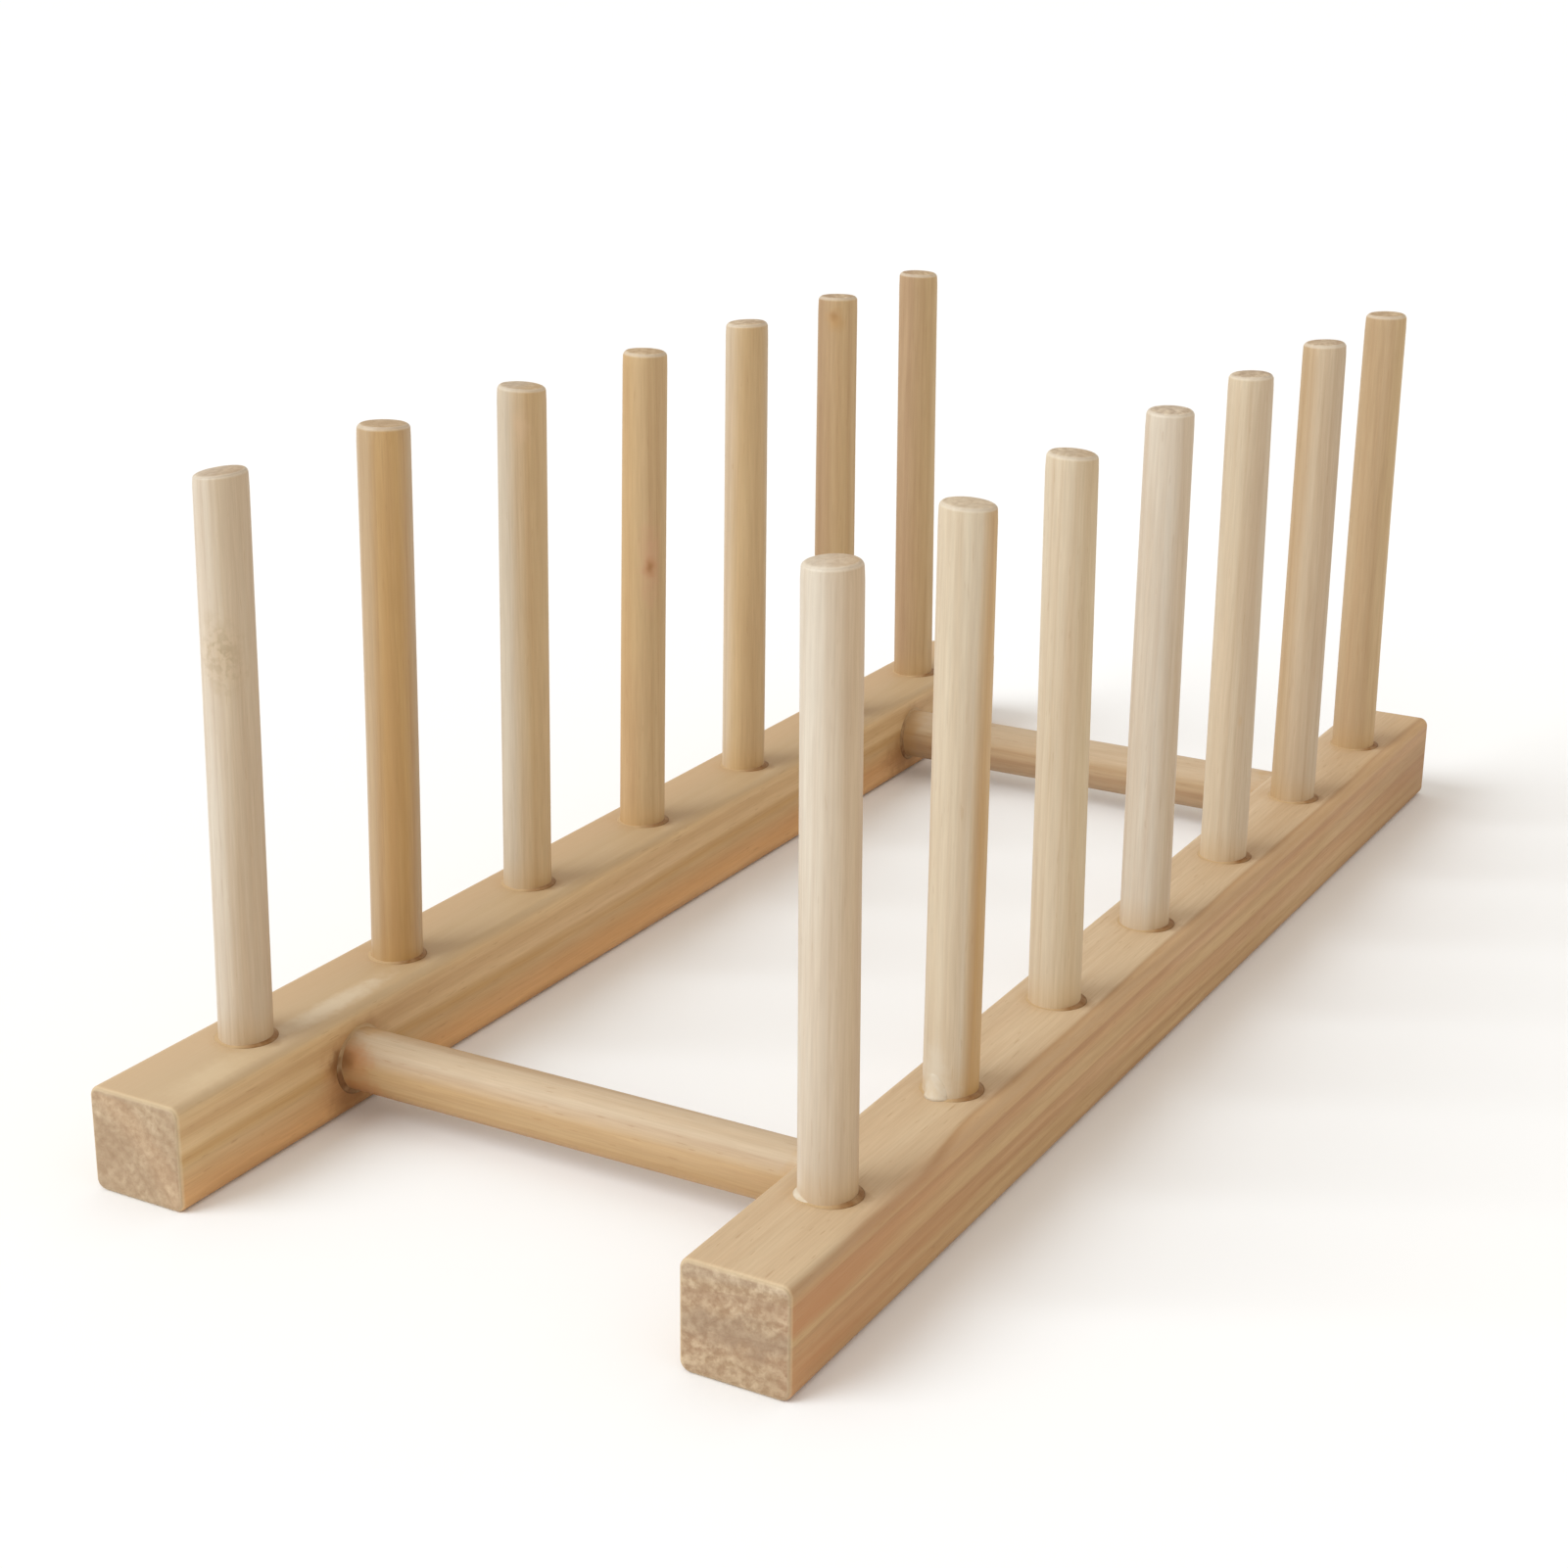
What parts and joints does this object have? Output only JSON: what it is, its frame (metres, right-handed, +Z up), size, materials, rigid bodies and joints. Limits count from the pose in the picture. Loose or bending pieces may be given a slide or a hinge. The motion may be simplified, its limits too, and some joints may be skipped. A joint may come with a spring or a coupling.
{
  "type": "plate rack",
  "caption": "Free-standing wooden rack that holds plates on edge between upright round pegs set in parallel square rails tied by round cross bars.",
  "frame": {"origin": "centre of the rack's footprint, on the surface it stands on", "axes": "+X across the rack from the left rail to the right rail, +Y along the rails away from the front, +Z up along the pegs"},
  "size_m": [0.14, 0.33, 0.125],
  "materials": {
    "rail_pine": "planed, unfinished",
    "pale_peg_pine": "sanded, unfinished",
    "warm_peg_pine": "sanded, unfinished",
    "bar_pine": "sanded, unfinished"
  },
  "bodies": {
    "root": {"left_rail": "rail_pine", "left_peg_1": "pale_peg_pine", "left_peg_2": "warm_peg_pine", "left_peg_3": "warm_peg_pine", "left_peg_4": "warm_peg_pine", "left_peg_5": "warm_peg_pine", "left_peg_6": "warm_peg_pine", "left_peg_7": "warm_peg_pine", "right_rail": "rail_pine", "right_peg_1": "pale_peg_pine", "right_peg_2": "pale_peg_pine", "right_peg_3": "pale_peg_pine", "right_peg_4": "pale_peg_pine", "right_peg_5": "pale_peg_pine", "right_peg_6": "warm_peg_pine", "right_peg_7": "warm_peg_pine", "front_crossbar": "bar_pine", "rear_crossbar": "bar_pine"}
  },
  "joints": []
}
